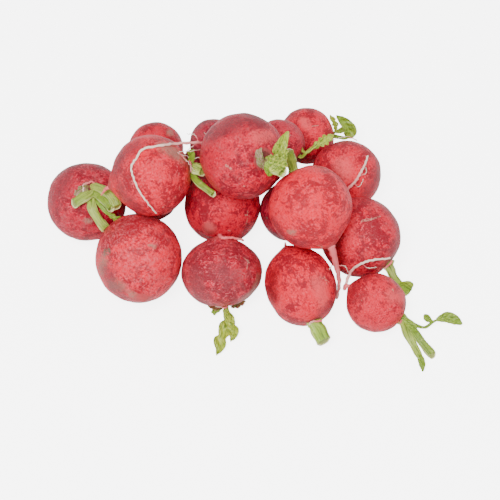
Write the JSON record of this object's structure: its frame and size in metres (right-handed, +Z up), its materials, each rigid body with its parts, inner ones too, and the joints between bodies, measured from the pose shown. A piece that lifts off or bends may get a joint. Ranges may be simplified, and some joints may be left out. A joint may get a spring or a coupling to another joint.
{
  "type": "heap of small red radishes",
  "caption": "Loose heap of small round red radishes, trimmed to short leaf stalks, some with thin pale roots, resting on a table.",
  "frame": {"origin": "middle of the heap's footprint, on the table that it lies on", "axes": "+Z up, +X along the heap's longest side, +Y from the front row to the back row"},
  "size_m": [0.167, 0.117, 0.0668],
  "materials": {
    "bulb_skin": "satin waxy skin with pale scars and dry soil dust",
    "leaf_stalk": "moist pale green stalk",
    "leaf_blade": "soft matt leaf",
    "dry_scale": "dry papery scale"
  },
  "bodies": {
    "root": {"radish_front_left": "bulb_skin", "radish_front_middle": "bulb_skin", "radish_front_right": "bulb_skin", "radish_small_front": "bulb_skin", "radish_far_left": "bulb_skin", "radish_centre": "bulb_skin", "radish_right": "bulb_skin", "radish_under_right": "bulb_skin", "radish_right_back": "bulb_skin", "radish_back_right": "bulb_skin", "radish_back_left": "bulb_skin", "radish_under_left": "bulb_skin", "radish_under_back": "bulb_skin", "radish_under_middle": "bulb_skin", "radish_small_back": "bulb_skin", "radish_small_top": "bulb_skin", "radish_top_left": "bulb_skin", "radish_top_right": "bulb_skin", "radish_top_middle": "bulb_skin", "stalk_far_left_stub": "leaf_stalk", "stalk_far_left_thick": "leaf_stalk", "stalk_far_left_hollow": "leaf_stalk", "stalk_far_left_flat": "leaf_stalk", "leaf_far_left": "leaf_blade", "scale_far_left": "dry_scale", "stalk_top_left_stub": "leaf_stalk", "stalk_top_left_hollow": "leaf_stalk", "leaf_top_left": "leaf_blade", "leaf_top_middle_blade": "leaf_blade", "leaf_top_middle_small": "leaf_blade", "stalk_top_middle_stub": "leaf_stalk", "stalk_top_middle_side": "leaf_stalk", "scale_top_middle": "dry_scale", "stalk_top_right": "leaf_stalk", "leaf_small_top": "leaf_blade", "leaf_back_right_slender": "leaf_blade", "leaf_back_right_wide": "leaf_blade", "leaf_front_middle_bud": "leaf_blade", "stalk_front_middle": "leaf_stalk", "stalk_front_right": "leaf_stalk", "stalk_right": "leaf_stalk", "stalk_small_front_thick": "leaf_stalk", "stalk_small_front_round": "leaf_stalk", "leaf_small_front": "leaf_blade"}
  },
  "joints": []
}
